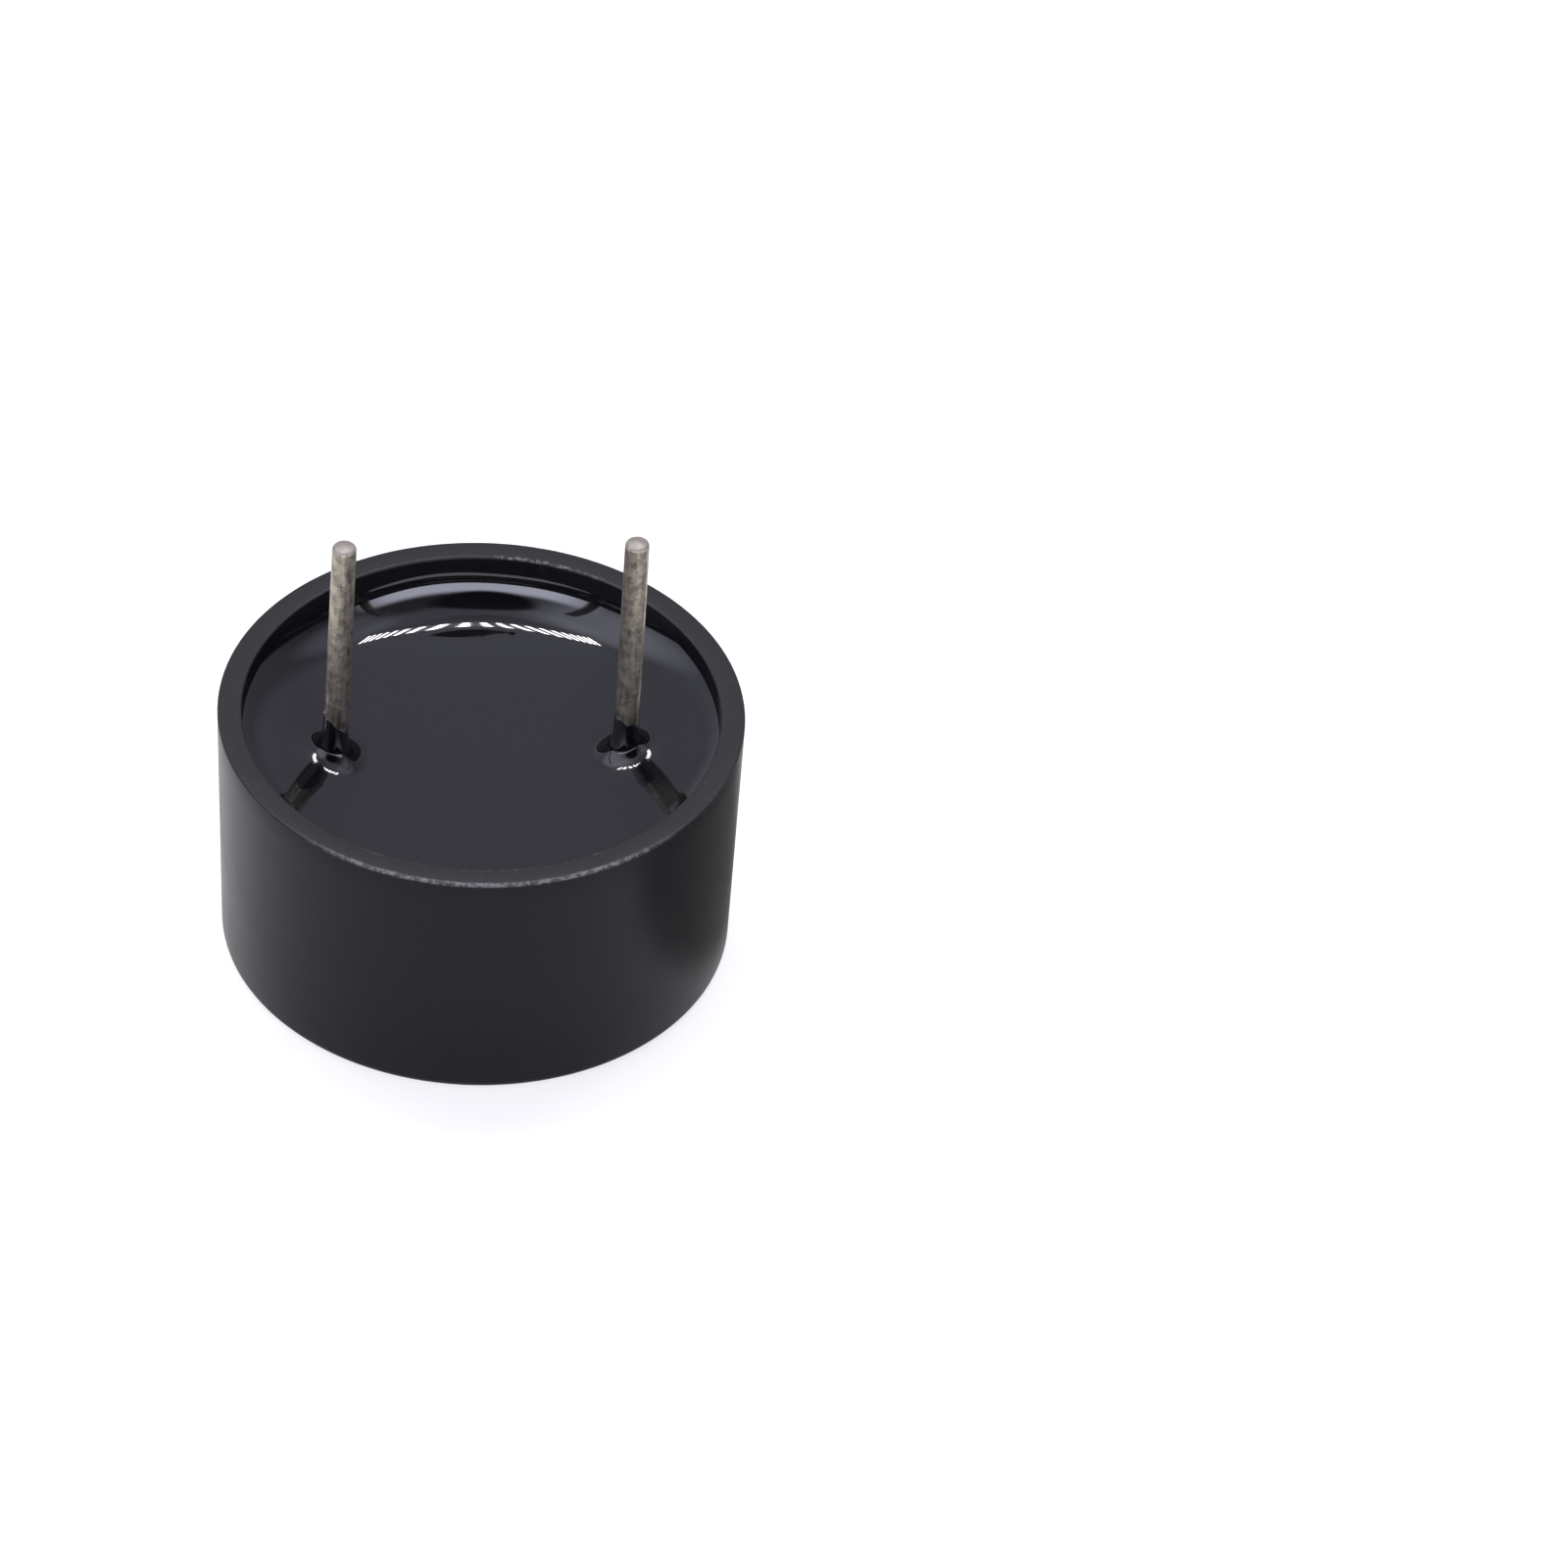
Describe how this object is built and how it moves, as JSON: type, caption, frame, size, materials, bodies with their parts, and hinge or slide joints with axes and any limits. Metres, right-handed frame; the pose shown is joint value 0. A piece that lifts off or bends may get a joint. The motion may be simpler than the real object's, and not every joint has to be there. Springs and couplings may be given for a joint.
{
  "type": "passive buzzer",
  "caption": "Sealed round passive buzzer with a black moulded housing, a sound port, dished black potting and straight tinned wire pins.",
  "frame": {"origin": "centre of the sound face, on the housing's axis", "axes": "+Z along the housing's axis towards the pins, +X towards the positive pin"},
  "size_m": [0.0118, 0.0118, 0.0111],
  "materials": {
    "housing_plastic": "fine moulded grain",
    "potting_epoxy": "poured, glossy",
    "tinned_wire": "tarnished tin",
    "solder": "bright solder",
    "board_laminate": "resin laminate",
    "soft_iron": "bare steel",
    "enamelled_copper": "enamelled",
    "ferrite": "sintered, dark",
    "natural_plastic": "moulded",
    "foil_steel": "rolled foil",
    "mass_metal": "matt, pale tan"
  },
  "bodies": {
    "root": {"housing": "housing_plastic", "potting_resin": "potting_epoxy", "pin_positive": "tinned_wire", "pin_negative": "tinned_wire", "solder_positive": "solder", "solder_negative": "solder", "terminal_board": "board_laminate", "coil_lead_positive": "enamelled_copper", "coil_lead_negative": "enamelled_copper", "yoke_plate": "soft_iron", "pole_core": "soft_iron", "coil_winding": "enamelled_copper", "ring_magnet": "ferrite", "support_ring": "natural_plastic", "diaphragm": "foil_steel", "mass_disc": "mass_metal"}
  },
  "joints": []
}
